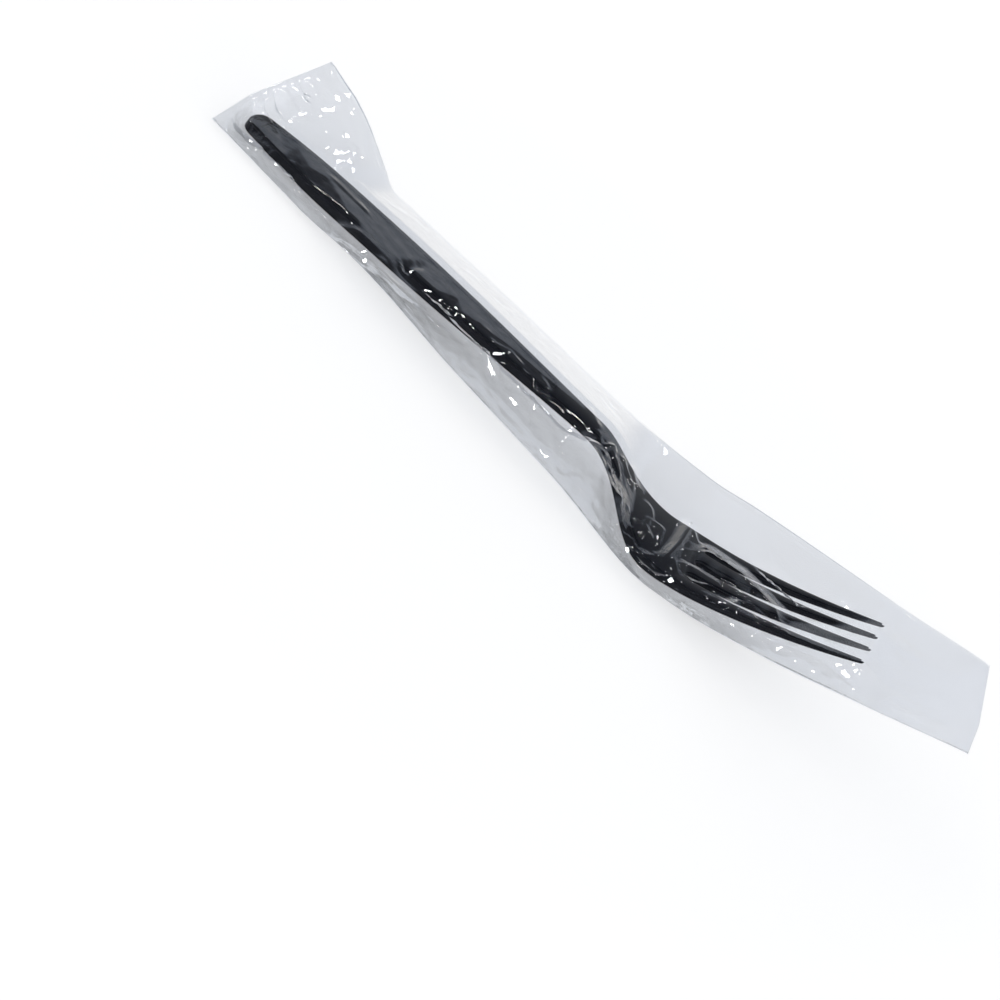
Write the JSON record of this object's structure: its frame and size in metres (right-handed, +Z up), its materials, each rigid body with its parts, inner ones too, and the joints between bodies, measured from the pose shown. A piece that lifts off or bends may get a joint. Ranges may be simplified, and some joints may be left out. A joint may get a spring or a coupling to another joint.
{
  "type": "wrapped disposable fork",
  "caption": "Disposable dark plastic fork with a bowed handle and a grained grip panel, sealed in a clear flat film sleeve that is creased over the neck and head, lying on its back.",
  "frame": {"origin": "on the surface that the fork lies on, under the middle of the sleeve's length and width", "axes": "+X from the handle end towards the tines, +Y across the sleeve, +Z up"},
  "size_m": [0.2008, 0.0442, 0.0302],
  "materials": {
    "black_polystyrene": "satin top face with a grained panel, glossy edges",
    "clear_film": "clear, creased and glossy"
  },
  "bodies": {
    "root": {"fork": "black_polystyrene", "film_sleeve": "clear_film"}
  },
  "joints": []
}
